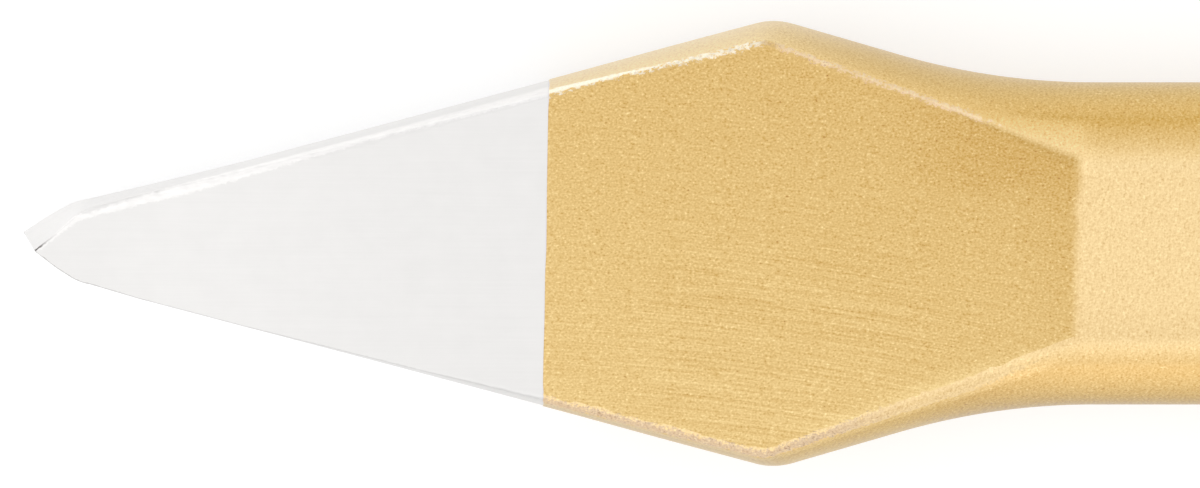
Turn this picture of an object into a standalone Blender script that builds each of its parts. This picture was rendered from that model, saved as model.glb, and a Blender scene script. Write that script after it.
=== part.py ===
"""Cross cut chisel lying on its broad side: one steel forging and the lacquer film that covers it.

The axis runs along X with the cutting edge at the low end, and the two broad faces look up and down.
Lengths are in metres. A setback is a distance along the axis, measured from the cutting edge.
"""

import math

import bmesh
import bpy
import numpy as np

MM = 0.001

# Bar: the flat-oval steel that the shank is made of
LENGTH = 200.0 * MM  # cutting edge to struck face, over the lacquer
BAR_WIDTH = 20.0 * MM  # over the round narrow sides
BAR_THICKNESS = 12.0 * MM  # over the flats
BAR_FLAT = 12.0 * MM  # width of each flat

# Forged head: where the bar widens, seen on its broad side
HEAD_WIDTH = 28.0 * MM  # over the two corners, before they are rounded
HEAD_SETBACK = 47.16 * MM
HEAD_CORNER_R = 4.3 * MM
NECK_SLOPE = math.radians(16.2)  # narrow sides to the axis, between the head's corners and the bar
NECK_R = 43.5 * MM

# Ground faces: the two flats on the head, which thin it from the bar to the blade
FACE_INSET = 1.05 * MM  # from each corner of the head in to the corner of the face
FACE_LEAD = 0.7 * MM  # the face's corners lie this far in front of the head's
FACE_CORNER_R = 1.6 * MM
FACE_TAIL = 18.7 * MM  # from the head's corners back to where a face runs out into the bar's flat
RUNOUT_R = 4.0 * MM

# Blade and cutting edge
EDGE_WIDTH = 8.0 * MM  # the groove that the chisel cuts
EDGE_LAND = 0.10 * MM  # flat left on the very edge
EDGE_SLOPE = math.radians(34.0)  # each edge bevel to the axis
SHOULDER_WIDTH = 4.47 * MM  # over the two shoulders behind the edge bevels, before they are rounded
SHOULDER_R = 4.5 * MM
WAIST_THICKNESS = 7.4 * MM  # blade just behind the edge, thinner than the edge for clearance
WAIST_SETBACK = 7.0 * MM
WAIST_R = 60.0 * MM
EDGE_ROLL = math.radians(4.3)  # the hand-ground edge leans this much about the axis
EDGE_SKEW = math.radians(7.2)  # stands this much out of square
EDGE_OFFSET = 0.12 * MM  # and lies this far off the axis
ROLL_FADE = (1.6 * MM, 4.0 * MM)  # setbacks between which the lean fades out
SKEW_FADE = (0.0, 7.5 * MM)
OFFSET_FADE = (4.0 * MM, 14.0 * MM)

# Struck end
STRUCK_TAPER = 14.0 * MM  # length that narrows towards the struck face
STRUCK_WIDTH = 16.6 * MM
STRUCK_THICKNESS = 9.4 * MM
STRUCK_TAPER_R = 14.0 * MM
STRUCK_CHAMFER = 1.4 * MM

# Broken edges, measured along the faces: on the bright blade, on the lacquered head and on the bar
FILED_BREAKS = (0.42 * MM, 0.24 * MM, 1.2 * MM)  # two edges that face each other across the axis
PLAIN_BREAKS = (0.10 * MM, 0.42 * MM, 0.7 * MM)  # the two edges between them
BREAK_FADE = 8.0 * MM  # length over which one size of broken edge changes to the next
EDGE_BREAK = 0.02 * MM  # at the corners of the cutting edge itself
BREAK_GROWTH = 0.06  # how fast a broken edge may grow behind those corners, per length along the axis

# Lacquer film
LACQUER_SETBACK = 32.86 * MM  # where the film ends and the bright steel begins
LACQUER = 0.08 * MM
LACQUER_GAP = 0.02 * MM  # between the film's inner skin and the steel

# Fineness of the facets
ARC_STEP = math.radians(2.6)
SIDE_STEPS = 12  # facets round each narrow side
BREAK_STEPS = 3  # facets round each broken edge
LEAST_STEP = 0.30 * MM  # closest two stations may be
STRAIGHT_BULGE = 0.05 * MM  # a narrow side that swells less than this is taken as a parabola
SHARP_ANGLE = math.radians(18.0)

# Worked out from the above
FILM = LACQUER_GAP + LACQUER
STEEL_LENGTH = LENGTH - FILM
AXIS_HEIGHT = BAR_THICKNESS / 2 + FILM
FACE_RUNOUT = HEAD_SETBACK + FACE_TAIL
TAPER_SETBACK = STEEL_LENGTH - STRUCK_TAPER
CHAMFER_SETBACK = STEEL_LENGTH - STRUCK_CHAMFER


def filleted(corners):
    """Points along an open outline whose corners are (x, y, radius), each rounded by its radius.

    A radius is cut down where its round would take more than half of a straight beside it.
    """
    points = [corners[0][:2]]
    for before, corner, after in zip(corners, corners[1:], corners[2:]):
        x, y, radius = corner
        angle_in = math.atan2(y - before[1], x - before[0])
        turn = math.atan2(after[1] - y, after[0] - x) - angle_in
        if radius == 0 or turn == 0:
            points.append((x, y))
            continue
        shorter = min(math.dist(before[:2], corner[:2]), math.dist(corner[:2], after[:2]))
        back = min(radius * math.tan(abs(turn) / 2), shorter / 2)
        bend = math.copysign(back / math.tan(abs(turn) / 2), turn)
        centre_x = x - back * math.cos(angle_in) - bend * math.sin(angle_in)
        centre_y = y - back * math.sin(angle_in) + bend * math.cos(angle_in)
        steps = max(2, math.ceil(abs(turn) / ARC_STEP))
        for angle in np.linspace(angle_in, angle_in + turn, steps + 1):
            points.append((centre_x + bend * math.sin(angle), centre_y - bend * math.cos(angle)))
    points.append(corners[-1][:2])
    return np.array(points)


def struck_corners(half_size, struck_half_size):
    """Corners of an outline's struck end: the start of the taper, the chamfer and the struck face."""
    return [
        (TAPER_SETBACK, half_size, STRUCK_TAPER_R),
        (CHAMFER_SETBACK, struck_half_size, 0),
        (STEEL_LENGTH, struck_half_size - STRUCK_CHAMFER, 0),
    ]


def edge_corners():
    """Corners of the cutting edge's land and of the shoulder behind an edge bevel."""
    bevel_length = (SHOULDER_WIDTH - EDGE_LAND) / 2 / math.tan(EDGE_SLOPE)
    return [(0, EDGE_LAND / 2, 0), (bevel_length, SHOULDER_WIDTH / 2, SHOULDER_R)]


def outline_corners():
    """Half width of the forging over its narrow sides, along the axis."""
    neck_length = (HEAD_WIDTH - BAR_WIDTH) / 2 / math.tan(NECK_SLOPE)
    return [
        *edge_corners(),
        (HEAD_SETBACK, HEAD_WIDTH / 2, HEAD_CORNER_R),
        (HEAD_SETBACK + neck_length, BAR_WIDTH / 2, NECK_R),
        *struck_corners(BAR_WIDTH / 2, STRUCK_WIDTH / 2),
    ]


def face_corners():
    """Half width of the ground faces and, behind them, of the bar's flats, along the axis."""
    struck_flat = STRUCK_WIDTH * BAR_FLAT / BAR_WIDTH
    return [
        *edge_corners(),
        (HEAD_SETBACK - FACE_LEAD, HEAD_WIDTH / 2 - FACE_INSET, FACE_CORNER_R),
        (FACE_RUNOUT, BAR_FLAT / 2, RUNOUT_R),
        *struck_corners(BAR_FLAT / 2, struck_flat / 2),
    ]


def thickness_corners():
    """Half thickness of the forging over its broad faces, along the axis."""
    return [
        (0, EDGE_WIDTH / 2, 0),
        (WAIST_SETBACK, WAIST_THICKNESS / 2, WAIST_R),
        (FACE_RUNOUT, BAR_THICKNESS / 2, RUNOUT_R),
        *struck_corners(BAR_THICKNESS / 2, STRUCK_THICKNESS / 2),
    ]


def stations(profiles):
    """Setbacks of the rings: the points of the profiles, thinned, with the lacquer line always kept."""
    kept = [0.0, LACQUER_SETBACK, TAPER_SETBACK, CHAMFER_SETBACK, STEEL_LENGTH]
    wanted = [x for profile in profiles for x in profile[:, 0]]
    wanted += [*ROLL_FADE, *SKEW_FADE, *OFFSET_FADE, LACQUER_SETBACK - BREAK_FADE, FACE_RUNOUT - BREAK_FADE]
    for x in sorted(wanted):
        if all(abs(x - other) >= LEAST_STEP for other in kept):
            kept.append(x)
    return sorted(kept)


def broken_edge(x, breaks):
    """Size of a broken edge at a setback, from its sizes on the blade, the head and the bar."""
    blade_break, head_break, bar_break = breaks
    places = [LACQUER_SETBACK - BREAK_FADE, LACQUER_SETBACK, FACE_RUNOUT - BREAK_FADE, FACE_RUNOUT]
    size = float(np.interp(x, places, [blade_break, head_break, head_break, bar_break]))
    return min(size, EDGE_BREAK + BREAK_GROWTH * x)


def narrow_side(half_width, bulge, upper, lower, half_thickness):
    """Points (y, z) of one narrow side between two heights: an arc that swells by the bulge."""
    if bulge < STRAIGHT_BULGE:
        heights = np.linspace(upper, lower, SIDE_STEPS + 1)
        inset = bulge * (heights / half_thickness) ** 2
    else:
        radius = (half_thickness**2 + bulge**2) / (2 * bulge)
        angles = np.linspace(math.asin(upper / radius), math.asin(lower / radius), SIDE_STEPS + 1)
        heights = radius * np.sin(angles)
        inset = radius * (1 - np.cos(angles))
    return [(half_width - back, z) for back, z in zip(inset, heights)]


def rounded(start, corner, end):
    """Points between a start and an end, on the parabola that touches both lines to the corner."""
    points = []
    for share in np.linspace(0, 1, BREAK_STEPS + 1)[1:-1]:
        weights = ((1 - share) ** 2, 2 * share * (1 - share), share**2)
        points.append(tuple(np.dot(weights, (start, corner, end))))
    return points


def ring(x, profiles):
    """Points of the forging's cross section at a setback, round from one flat to the other."""
    half_width, half_face, half_thickness = (
        float(np.interp(x, profile[:, 0], profile[:, 1])) for profile in profiles
    )
    upper_break = broken_edge(x, FILED_BREAKS)
    lower_break = broken_edge(x, PLAIN_BREAKS)
    bulge = max(half_width - half_face, 0)
    side = narrow_side(
        half_width, bulge, half_thickness - upper_break, lower_break - half_thickness, half_thickness
    )
    upper_end = (half_face - upper_break, half_thickness)
    lower_end = (half_face - lower_break, -half_thickness)
    half = [
        upper_end,
        *rounded(upper_end, (half_face, half_thickness), side[0]),
        *side,
        *rounded(side[-1], (half_face, -half_thickness), lower_end),
        lower_end,
    ]
    # Half a turn about the axis brings the section onto itself
    section = half + [(-y, -z) for y, z in half]
    roll = math.tan(EDGE_ROLL) * np.interp(x, ROLL_FADE, (1, 0))
    skew = math.tan(EDGE_SKEW) * np.interp(x, SKEW_FADE, (1, 0))
    offset = EDGE_OFFSET * np.interp(x, OFFSET_FADE, (1, 0))
    return [(x + (z + EDGE_WIDTH / 2) * skew, y + offset - z * roll, z) for y, z in section]


def cap(mesh, loop):
    """Closes an end with strips across it, between points at like heights on the two narrow sides."""
    for i in range(len(loop) // 2 - 1):
        mesh.faces.new((loop[i], loop[i + 1], loop[-2 - i], loop[-1 - i]))


def lofted(name, rings, cap_front):
    """Mesh of a skin through the rings, capped at the struck end and, if asked, at the front."""
    mesh = bmesh.new()
    loops = [[mesh.verts.new(point) for point in points] for points in rings]
    for loop, following in zip(loops, loops[1:]):
        for i in range(len(loop)):
            mesh.faces.new((loop[i - 1], loop[i], following[i], following[i - 1]))
    cap(mesh, loops[-1])
    if cap_front:
        cap(mesh, loops[0])
    bmesh.ops.triangulate(mesh, faces=mesh.faces, quad_method="FIXED")
    bmesh.ops.recalc_face_normals(mesh, faces=mesh.faces)
    data = bpy.data.meshes.new(name)
    mesh.to_mesh(data)
    mesh.free()
    data.shade_smooth()
    data.set_sharp_from_angle(angle=SHARP_ANGLE)
    return data


def finish(name, colour, roughness, metallic):
    """A plain material with the given colour and gloss."""
    material = bpy.data.materials.new(name)
    material.use_nodes = True
    shader = material.node_tree.nodes["Principled BSDF"]
    shader.inputs["Base Color"].default_value = (*colour, 1)
    shader.inputs["Roughness"].default_value = roughness
    shader.inputs["Metallic"].default_value = metallic
    return material


def placed(name, data, material, axis, collection):
    """An object of the mesh, carried on the chisel's axis."""
    made = bpy.data.objects.new(name, data)
    made.parent = axis
    made.data.materials.append(material)
    collection.objects.link(made)
    return made


def make_steel(rings, axis, collection):
    """The forging, from the cutting edge to the struck face."""
    steel = finish("ground_steel", (0.86, 0.85, 0.84), 0.35, 1.0)
    data = lofted("forged_steel", list(rings.values()), cap_front=True)
    return placed("forged_steel", data, steel, axis, collection)


def make_lacquer(rings, axis, collection):
    """The film: the forging's own skin behind the lacquer line, thickened outwards clear of the steel."""
    gold = finish("gold_lacquer", (0.78, 0.53, 0.21), 0.4, 0.8)
    skin = [points for x, points in rings.items() if x >= LACQUER_SETBACK]
    film = placed("lacquer_film", lofted("lacquer_film", skin, cap_front=False), gold, axis, collection)
    shell = film.modifiers.new("film_thickness", "SOLIDIFY")
    shell.thickness = LACQUER
    shell.offset = 1 + 2 * LACQUER_GAP / LACQUER
    shell.use_even_offset = True
    return film


def main():
    """Build the chisel in an empty scene."""
    for old in list(bpy.data.objects):
        bpy.data.objects.remove(old)
    collection = bpy.data.collections.new("cross_cut_chisel")
    bpy.context.scene.collection.children.link(collection)
    axis = bpy.data.objects.new("chisel_axis", None)
    axis.location = (-LENGTH / 2, 0, AXIS_HEIGHT)
    collection.objects.link(axis)

    profiles = [filleted(corners()) for corners in (outline_corners, face_corners, thickness_corners)]
    rings = {x: ring(x, profiles) for x in stations(profiles)}
    make_steel(rings, axis, collection)
    make_lacquer(rings, axis, collection)


main()
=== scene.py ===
"""Looks of a cross cut chisel: a ground steel forging under a coat of gold lacquer.

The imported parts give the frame: where the chisel lies, how long it is and how thick its lacquer is. Both
pieces are skins of one formula, a cross section carried along the axis. Lengths are in metres. A setback is
a distance along the axis from the cutting edge, and a lift is a height above the bare steel.
"""

import itertools
import logging
import math
from collections.abc import Sequence
from dataclasses import dataclass, field
from enum import Enum
from functools import cached_property, reduce
from operator import mul

import bpy
import numpy as np
from mathutils import Matrix, Vector
from numpy.typing import NDArray


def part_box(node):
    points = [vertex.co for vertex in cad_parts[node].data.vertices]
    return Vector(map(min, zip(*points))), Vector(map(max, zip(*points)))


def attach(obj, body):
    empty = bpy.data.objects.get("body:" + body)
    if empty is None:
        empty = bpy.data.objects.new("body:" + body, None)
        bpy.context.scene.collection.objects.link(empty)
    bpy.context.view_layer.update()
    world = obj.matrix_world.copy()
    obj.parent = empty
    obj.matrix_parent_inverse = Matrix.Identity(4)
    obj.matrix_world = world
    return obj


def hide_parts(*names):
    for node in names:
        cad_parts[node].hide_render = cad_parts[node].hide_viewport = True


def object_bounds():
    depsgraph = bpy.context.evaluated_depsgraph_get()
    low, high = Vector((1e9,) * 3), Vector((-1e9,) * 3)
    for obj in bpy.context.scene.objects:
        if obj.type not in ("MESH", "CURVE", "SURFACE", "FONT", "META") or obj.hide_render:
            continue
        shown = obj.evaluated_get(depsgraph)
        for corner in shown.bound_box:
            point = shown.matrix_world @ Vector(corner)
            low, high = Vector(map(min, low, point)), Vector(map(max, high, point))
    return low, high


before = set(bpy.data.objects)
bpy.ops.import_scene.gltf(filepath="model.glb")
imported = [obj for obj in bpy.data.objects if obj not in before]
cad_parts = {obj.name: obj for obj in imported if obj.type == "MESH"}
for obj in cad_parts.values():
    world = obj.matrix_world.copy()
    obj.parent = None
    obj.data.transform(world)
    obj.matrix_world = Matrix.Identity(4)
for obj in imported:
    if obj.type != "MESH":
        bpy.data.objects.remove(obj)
CAD_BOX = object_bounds()

MM = 0.001
BODY = "root"
LOG = logging.getLogger("chisel")

Grid = NDArray[np.float64]
Span = tuple[float, float]
Triple = tuple[float, float, float]


class Mark(str, Enum):
    """Attributes that a skin carries for its finish."""

    EDGE = "edge_gap"  # distance from the crest of the nearest broken edge, in millimetres
    FILED = "filed_edge"  # 1 where that edge was filed, 0 where it was only broken
    GROUND = "ground_face"  # 1 on the ground broad faces, 0 elsewhere
    TURN = "side_turn"  # 0 where the section faces the broad side, 1 where it faces the narrow side


class Strip(int, Enum):
    """Strips of a quarter of a cross section, with the facets that each one gets."""

    FLAT = 16
    EDGE = 8
    SIDE = 13


class Quarter(Enum):
    """Quarters of a cross section, in order round it: the signs of Y and Z, and the seed of its edge."""

    RIGHT_UPPER = (1, 1, 11)
    RIGHT_LOWER = (1, -1, 21)
    LEFT_LOWER = (-1, -1, 31)
    LEFT_UPPER = (-1, 1, 41)

    @property
    def filed(self) -> bool:
        """True where the blade's edge was filed, which is on two opposite quarters."""
        return self.value[0] == self.value[1]


def eased(share: Grid) -> Grid:
    """Smooth step: three squares less two cubes of the share, held between 0 and 1."""
    held = np.clip(share, 0.0, 1.0)
    return held * held * (3.0 - 2.0 * held)


@dataclass(frozen=True)
class Swing:
    """A seeded, smooth random swing along a line, between -1 and 1."""

    seed: int
    step: float
    reach: float

    def at(self, places: Grid) -> Grid:
        """Random values at even steps, joined by smooth steps.

        Args:
            places: distances along the line.

        Returns:
            The swing at each place.
        """
        count = int(self.reach / self.step) + 3
        values = np.random.default_rng(self.seed).uniform(-1.0, 1.0, count)
        where = np.clip(places / self.step, 0.0, count - 2.0)
        index = where.astype(int)
        share = eased(where - index)
        return values[index] * (1.0 - share) + values[index + 1] * share


@dataclass(frozen=True)
class Corner:
    """A corner of a profile: its setback, its half size and the radius that rounds it."""

    setback: float
    half: float
    radius: float = 0.0


@dataclass(frozen=True)
class Profile:
    """Half size of the forging along its axis: straights between corners, each rounded by an arc."""

    corners: tuple[Corner, ...]
    arc_step: float = math.radians(0.6)

    @cached_property
    def points(self) -> Grid:
        """Points of the profile: the two ends, and each corner's arc touching the straights beside it."""
        first, last = self.corners[0], self.corners[-1]
        runs = [np.array([[first.setback, first.half]])]
        runs += [self.arc(*three) for three in zip(self.corners, self.corners[1:], self.corners[2:])]
        return np.vstack([*runs, np.array([[last.setback, last.half]])])

    def arc(self, before: Corner, corner: Corner, after: Corner) -> Grid:
        """Arc about a centre one radius inside both straights, shortened to half of the shorter one.

        Args:
            before: the corner in front.
            corner: the corner that is rounded.
            after: the corner behind.

        Returns:
            Points along the arc, or the corner itself where it has no radius.
        """
        into = np.array([corner.setback - before.setback, corner.half - before.half])
        out = np.array([after.setback - corner.setback, after.half - corner.half])
        start = math.atan2(into[1], into[0])
        turn = math.atan2(out[1], out[0]) - start
        if corner.radius == 0 or turn == 0:
            return np.array([[corner.setback, corner.half]])
        shorter = min(np.linalg.norm(into), np.linalg.norm(out))
        back = min(corner.radius * math.tan(abs(turn) / 2), shorter / 2)
        bend = math.copysign(back / math.tan(abs(turn) / 2), turn)
        centre_x = corner.setback - back * math.cos(start) - bend * math.sin(start)
        centre_y = corner.half - back * math.sin(start) + bend * math.cos(start)
        angles = np.linspace(start, start + turn, max(2, math.ceil(abs(turn) / self.arc_step)) + 1)
        return np.column_stack([centre_x + bend * np.sin(angles), centre_y - bend * np.cos(angles)])

    def at(self, setbacks: Grid) -> Grid:
        """Half size at each setback."""
        return np.interp(setbacks, self.points[:, 0], self.points[:, 1])


@dataclass
class Skin:
    """A surface made of rings, closed round the axis, with the marks of its points.

    Attributes:
        points: rings by places round them by coordinates.
        marks: for each mark, its value at every place on every ring.
        sharp_angle: angle between faces from which their edge is sharp.
    """

    points: Grid
    marks: dict[Mark, Grid]
    sharp_angle: float = math.radians(28.0)

    def mesh(self, name: str) -> bpy.types.Mesh:
        """Closed mesh: four-sided faces between rings, and a fan to the middle of each end ring.

        Args:
            name: the mesh's name.

        Returns:
            The mesh, shaded smooth but for its sharp edges.
        """
        rings, places = self.points.shape[:2]
        index = np.arange(rings * places).reshape(rings, places)
        beside = np.roll(index, -1, axis=1)
        walls = np.stack([index[:-1], beside[:-1], beside[1:], index[1:]], axis=-1).reshape(-1, 4)
        front, rear = rings * places, rings * places + 1
        front_fan = np.column_stack([beside[0], index[0], np.full(places, front)])
        rear_fan = np.column_stack([index[-1], beside[-1], np.full(places, rear)])
        ends = self.points[[0, -1]].mean(axis=1)
        vertices = np.vstack([self.points.reshape(-1, 3), ends])

        mesh = bpy.data.meshes.new(name)
        mesh.from_pydata(vertices, [], [*walls.tolist(), *front_fan.tolist(), *rear_fan.tolist()])
        for mark, values in self.marks.items():
            every = np.concatenate([values.ravel(), values[[0, -1]].mean(axis=1)])
            attribute = mesh.attributes.new(mark.value, "FLOAT", "POINT")
            attribute.data.foreach_set("value", every.astype(np.float32))
        mesh.shade_smooth()
        mesh.set_sharp_from_angle(angle=self.sharp_angle)
        mesh.validate()
        return mesh


@dataclass
class Forging:
    """The steel forging: a tapered blade, a wide head with ground faces, and a flat-oval shank.

    Its half width, the half width of its broad faces and its half thickness follow three profiles along the
    axis, and a cross section is worked out from those three at every setback.

    Attributes:
        edge_roll, edge_skew, edge_offset: how the section leans, stands askew and lies off the axis at the
            cutting edge, and roll_fade, skew_fade, offset_fade where that fades out.
        filed_breaks, plain_breaks: size of a broken edge on the blade, the head and the bar.
        break_growth: how fast it may grow from edge_break at the cutting edge.
        break_swing: how uneven it is, by swing_shares of two swings with swing_steps.
        crest_spread: width of a broken edge round its turn, in its own sizes.
        wear_gap: what is added to the distance from the bar's edges, so that they aren't worn.
        straight_bulge: least swell of a narrow side.
        face_steps: facets up to which a face is ground, beside a plain edge and beside a filed one.
    """

    steel_low: Vector
    steel_high: Vector

    bar_width: float = 20.0 * MM
    bar_flat: float = 12.0 * MM

    head_width: float = 28.0 * MM
    head_setback: float = 47.16 * MM
    head_corner_radius: float = 4.3 * MM
    neck_slope: float = math.radians(16.2)
    neck_radius: float = 43.5 * MM

    face_inset: float = 1.05 * MM
    face_lead: float = 0.7 * MM
    face_corner_radius: float = 1.6 * MM
    face_tail: float = 18.7 * MM
    runout_radius: float = 4.0 * MM

    edge_width: float = 8.0 * MM
    edge_land: float = 0.10 * MM
    edge_slope: float = math.radians(34.0)
    shoulder_width: float = 4.47 * MM
    shoulder_radius: float = 4.5 * MM
    waist_thickness: float = 7.4 * MM
    waist_setback: float = 7.0 * MM
    waist_radius: float = 60.0 * MM
    edge_roll: float = math.radians(4.3)
    edge_skew: float = math.radians(7.2)
    edge_offset: float = 0.12 * MM
    roll_fade: Span = (1.6 * MM, 4.0 * MM)
    skew_fade: Span = (0.0, 7.5 * MM)
    offset_fade: Span = (4.0 * MM, 14.0 * MM)

    struck_taper: float = 14.0 * MM
    struck_width: float = 16.6 * MM
    struck_thickness: float = 9.4 * MM
    struck_taper_radius: float = 14.0 * MM
    struck_chamfer: float = 1.4 * MM
    struck_edge_radius: float = 0.5 * MM

    lacquer_line: float = 32.86 * MM
    line_slant: float = math.radians(1.1)
    filed_breaks: Triple = (0.42 * MM, 0.24 * MM, 1.2 * MM)
    plain_breaks: Triple = (0.10 * MM, 0.42 * MM, 0.7 * MM)
    break_fade: float = 8.0 * MM
    edge_break: float = 0.02 * MM
    break_growth: float = 0.06
    break_swing: float = 0.35
    swing_steps: Span = (1.1 * MM, 0.35 * MM)
    swing_shares: Span = (0.4, 0.6)
    crest_spread: float = 1.6
    wear_fade: float = 7.0 * MM
    wear_gap: float = 0.6 * MM

    head_step: float = 0.22 * MM
    bar_step: float = 1.6 * MM
    taper_rings: int = 30
    end_rings: int = 24
    straight_bulge: float = 0.002 * MM
    face_steps: Span = (Strip.FLAT - 1.0, Strip.FLAT + 2.5)
    crease_reach: float = 0.8 * MM
    crease_slant: float = math.radians(1.3)
    crease_swing: float = 0.12 * MM
    crease_step: float = 0.9 * MM
    crease_seed: int = 61

    @property
    def length(self) -> float:
        """Length of the bare steel along the axis."""
        return self.steel_high.x - self.steel_low.x

    @property
    def thickness(self) -> float:
        """Thickness of the bar over its flats."""
        return self.steel_high.z - self.steel_low.z

    @property
    def runout(self) -> float:
        """Setback of the crease where a ground face runs out into the bar's flat."""
        return self.head_setback + self.face_tail

    def edge_corners(self) -> list[Corner]:
        """Corners of the land on the cutting edge and of the shoulder behind an edge bevel."""
        bevel = (self.shoulder_width - self.edge_land) / 2 / math.tan(self.edge_slope)
        return [
            Corner(0.0, self.edge_land / 2),
            Corner(bevel, self.shoulder_width / 2, self.shoulder_radius),
        ]

    def struck_corners(self, half: float, struck_half: float) -> list[Corner]:
        """Corners of a profile's struck end.

        Args:
            half: half size of the bar in front of the taper.
            struck_half: half size at the chamfer.

        Returns:
            The start of the taper, the chamfer, the rim of the struck face and a point on that face.
        """
        rim = struck_half - self.struck_chamfer
        radius = self.struck_edge_radius
        return [
            Corner(self.length - self.struck_taper, half, self.struck_taper_radius),
            Corner(self.length - self.struck_chamfer, struck_half, 2 * radius),
            Corner(self.length, rim, radius),
            Corner(self.length, rim - 2 * radius),
        ]

    @cached_property
    def outline(self) -> Profile:
        """Half width over the narrow sides."""
        neck = (self.head_width - self.bar_width) / 2 / math.tan(self.neck_slope)
        corners = [
            *self.edge_corners(),
            Corner(self.head_setback, self.head_width / 2, self.head_corner_radius),
            Corner(self.head_setback + neck, self.bar_width / 2, self.neck_radius),
            *self.struck_corners(self.bar_width / 2, self.struck_width / 2),
        ]
        return Profile(tuple(corners))

    @cached_property
    def face(self) -> Profile:
        """Half width of the ground faces and, behind them, of the bar's flats."""
        struck_flat = self.struck_width * self.bar_flat / self.bar_width
        face_half = self.head_width / 2 - self.face_inset
        corners = [
            *self.edge_corners(),
            Corner(self.head_setback - self.face_lead, face_half, self.face_corner_radius),
            Corner(self.runout, self.bar_flat / 2, self.runout_radius),
            *self.struck_corners(self.bar_flat / 2, struck_flat / 2),
        ]
        return Profile(tuple(corners))

    @cached_property
    def side(self) -> Profile:
        """Half thickness over the broad faces."""
        corners = [
            Corner(0.0, self.edge_width / 2),
            Corner(self.waist_setback, self.waist_thickness / 2, self.waist_radius),
            Corner(self.runout, self.thickness / 2, self.runout_radius),
            *self.struck_corners(self.thickness / 2, self.struck_thickness / 2),
        ]
        return Profile(tuple(corners))

    def stations(self, start: float = 0.0) -> Grid:
        """Setbacks of the rings: close together on the head, further apart on the bar, closest at the end.

        Args:
            start: setback of the first ring.

        Returns:
            Rising setbacks, ending at the struck face.
        """
        head_end = self.runout + 2 * self.break_fade
        taper = self.length - self.struck_taper - self.struck_edge_radius
        chamfer = self.length - self.struck_chamfer - self.struck_edge_radius
        turn = np.linspace(0.0, math.pi / 2, self.end_rings)
        runs = [
            np.arange(start, head_end, self.head_step),
            np.arange(head_end, taper, self.bar_step),
            np.linspace(taper, chamfer, self.taper_rings, endpoint=False),
            chamfer + (self.length - chamfer) * np.sin(turn),
        ]
        return np.concatenate(runs)

    def break_size(self, setbacks: Grid, quarter: Quarter) -> Grid:
        """Size of a broken edge, which differs on the blade, on the lacquered head and on the bar.

        Args:
            setbacks: where it is wanted.
            quarter: the quarter that it lies in.

        Returns:
            The size at each setback, growing from the cutting edge and made uneven by two random swings.
        """
        line, fade, runout = self.lacquer_line, self.break_fade, self.runout
        blade_break, head_break, bar_break = self.filed_breaks if quarter.filed else self.plain_breaks
        places = [line - fade, line, runout - fade, runout]
        size = np.interp(setbacks, places, [blade_break, head_break, head_break, bar_break])
        seeds = itertools.count(quarter.value[2])
        swings = [Swing(seed, step, self.length).at(setbacks) for seed, step in zip(seeds, self.swing_steps)]
        swing = sum(share * each for share, each in zip(self.swing_shares, swings))
        uneven = 1.0 + self.break_swing * swing * eased((runout - setbacks) / fade)
        return np.minimum(size * uneven, self.edge_break + self.break_growth * setbacks)

    def quarter(self, setbacks: Grid, steps: Grid, quarter: Quarter) -> tuple[Grid, Grid, Grid]:
        """A quarter of the cross section, from the middle of a broad face to the middle of a narrow side.

        The flat is a straight. The narrow side is an arc that swells by what the outline has over the face.
        The broken edge is the parabola that touches both.

        Args:
            setbacks: rings by places, with a setback for every point.
            steps: facets from the middle of the broad face, for every place.
            quarter: which quarter it is.

        Returns:
            Offsets along Y, offsets along Z, and the distances from the crest of the broken edge.
        """
        width, flat, half = (profile.at(setbacks) for profile in (self.outline, self.face, self.side))
        size = self.break_size(setbacks, quarter)
        bulge = np.maximum(width - flat, self.straight_bulge)
        radius = (half**2 + bulge**2) / (2 * bulge)
        top = np.arcsin((half - size) / radius)
        on_flat, on_edge, on_side = (
            np.clip((steps - start) / strip, 0.0, 1.0)
            for strip, start in zip(Strip, (0, Strip.FLAT, Strip.FLAT + Strip.EDGE))
        )
        angle = top * (1.0 - on_side)
        side_y, side_z = width - radius * (1.0 - np.cos(angle)), radius * np.sin(angle)
        near, middle, far = (1.0 - on_edge) ** 2, 2.0 * on_edge * (1.0 - on_edge), on_edge**2
        past_edge = steps > Strip.FLAT + Strip.EDGE
        on_flat = 1.0 - (1.0 - on_flat) ** 3  # facets crowd towards the broken edge
        y = np.where(past_edge, side_y, near * (flat - size) * on_flat + middle * flat + far * side_y)
        z = np.where(past_edge, side_z, (near + middle) * half + far * side_z)
        crest = self.crest_spread * size * np.abs(on_edge - 0.5)
        gap = crest + (flat - size) * (1.0 - on_flat) + radius * (top - angle)
        sign_y, sign_z, _ = quarter.value
        return sign_y * y, sign_z * z, gap

    @property
    def steps(self) -> Grid:
        """Facets from the middle of a broad face, for each place round a ring, up and down in turn."""
        count = sum(Strip)
        up = np.arange(count, dtype=float)
        return np.concatenate([up, count - up] * 2)

    def skin(self, setbacks: Grid, lifts: Grid) -> Skin:
        """The forging's surface, or a surface that lies a little above it.

        A lift moves a point out along the section's own normal and, at the chamfer, back along the axis too.
        Near the cutting edge the section leans, stands askew and lies off the axis, which all fades out
        along the blade.

        Args:
            setbacks: rings by places, with a setback for every point.
            lifts: a lift for every ring.

        Returns:
            The surface in the frame, with its marks.
        """
        shares = zip(Quarter, np.split(setbacks, 4, axis=1), np.split(self.steps, 4))
        quarters = [self.quarter(part, steps, quarter) for quarter, part, steps in shares]
        y, z, gap = (np.hstack(columns) for columns in zip(*quarters))

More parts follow.
